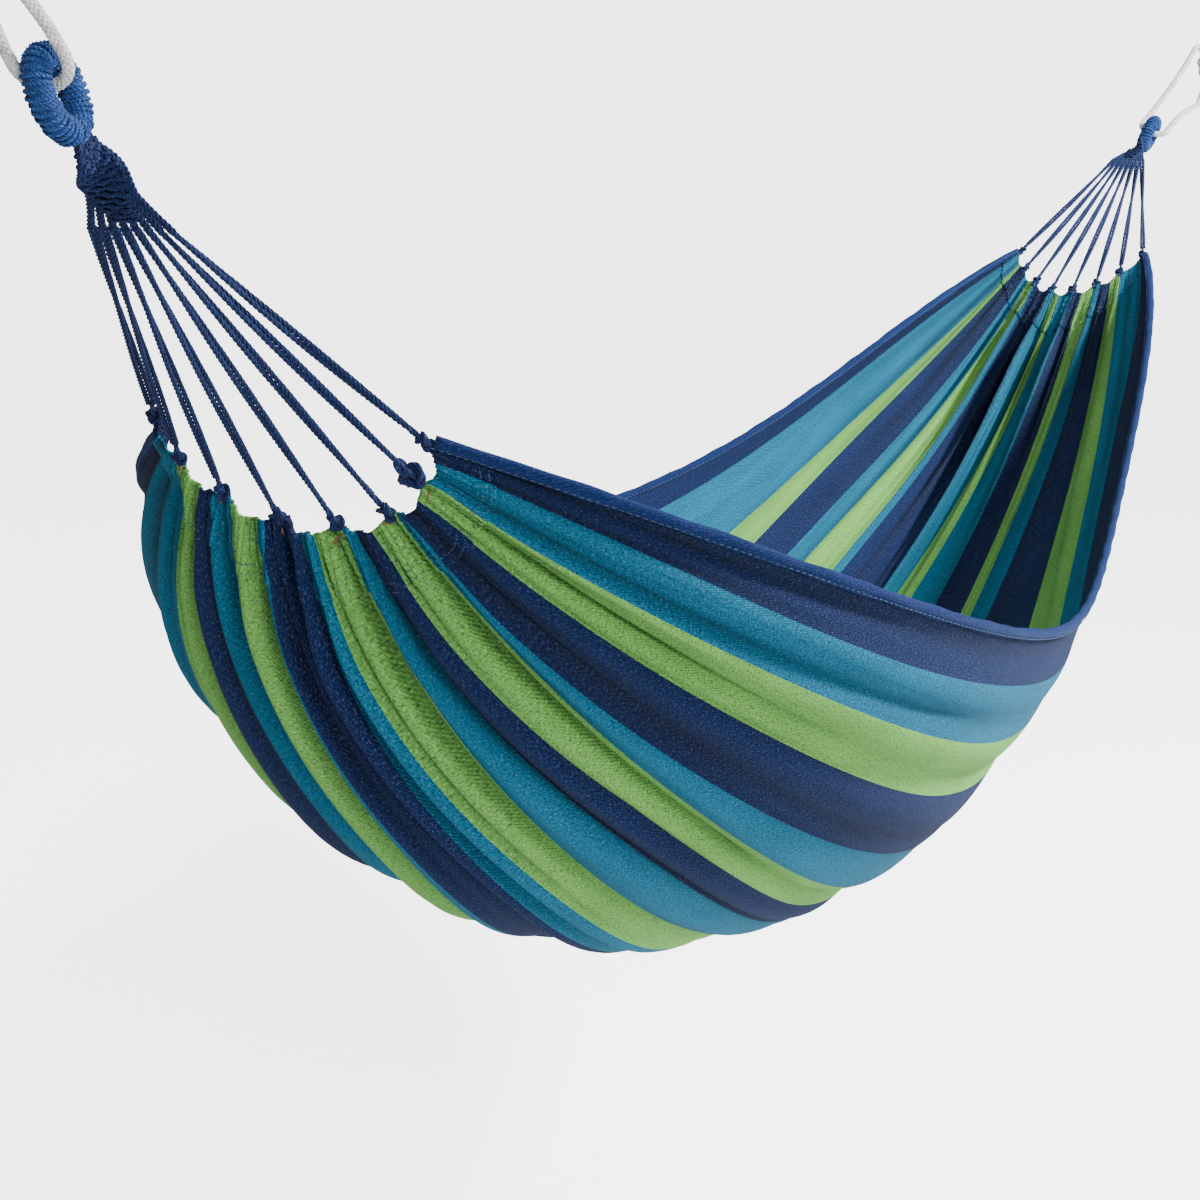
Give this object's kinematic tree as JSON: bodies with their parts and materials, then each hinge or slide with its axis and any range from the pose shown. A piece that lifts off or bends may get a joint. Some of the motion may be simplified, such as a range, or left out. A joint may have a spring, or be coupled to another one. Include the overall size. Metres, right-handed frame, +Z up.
{
  "type": "rope hammock",
  "caption": "Striped canvas hammock gathered on knotted suspension cords to a woven clew and wrapped eye at each end, hung by white ropes; it swings about the line of its eyes.",
  "frame": {"origin": "centre of the bar that the head rope's loop goes round", "axes": "+X from the head end to the foot end, +Y to the far edge of the bed, +Z up; the bed is a mirror image about y = 0"},
  "size_m": [2.6861, 0.7832, 1.0059],
  "materials": {
    "striped_canvas": "matt heathered twill in navy, teal and green stripes",
    "navy_hem": "matt navy rolled hem",
    "navy_cord": "matt twisted navy cord",
    "white_rope": "matt braided off-white rope"
  },
  "bodies": {
    "ropes": {"head_hanging_rope": "white_rope", "head_rope_knot": "white_rope", "foot_hanging_rope": "white_rope", "foot_rope_knot": "white_rope"},
    "hammock": {"head_eye": "navy_cord", "head_clew": "navy_cord", "head_cord_1": "navy_cord", "head_cord_2": "navy_cord", "head_cord_3": "navy_cord", "head_cord_4": "navy_cord", "head_cord_5": "navy_cord", "head_cord_6": "navy_cord", "head_cord_7": "navy_cord", "head_cord_8": "navy_cord", "head_knot_1": "navy_cord", "head_knot_2": "navy_cord", "head_knot_3": "navy_cord", "head_knot_4": "navy_cord", "head_knot_5": "navy_cord", "head_knot_6": "navy_cord", "head_knot_7": "navy_cord", "head_knot_8": "navy_cord", "head_end_hem": "striped_canvas", "foot_eye": "navy_cord", "foot_clew": "navy_cord", "foot_cord_1": "navy_cord", "foot_cord_2": "navy_cord", "foot_cord_3": "navy_cord", "foot_cord_4": "navy_cord", "foot_cord_5": "navy_cord", "foot_cord_6": "navy_cord", "foot_cord_7": "navy_cord", "foot_cord_8": "navy_cord", "foot_knot_1": "navy_cord", "foot_knot_2": "navy_cord", "foot_knot_3": "navy_cord", "foot_knot_4": "navy_cord", "foot_knot_5": "navy_cord", "foot_knot_6": "navy_cord", "foot_knot_7": "navy_cord", "foot_knot_8": "navy_cord", "foot_end_hem": "striped_canvas", "bed_cloth": "striped_canvas", "near_side_hem": "navy_hem", "far_side_hem": "navy_hem"}
  },
  "joints": [
    {"name": "swing", "type": "hinge", "parent": "ropes", "child": "hammock", "pos_m": [0.1293, 0, -0.178], "axis": [1, 0, 0], "range_deg": [-15, 15]}
  ]
}
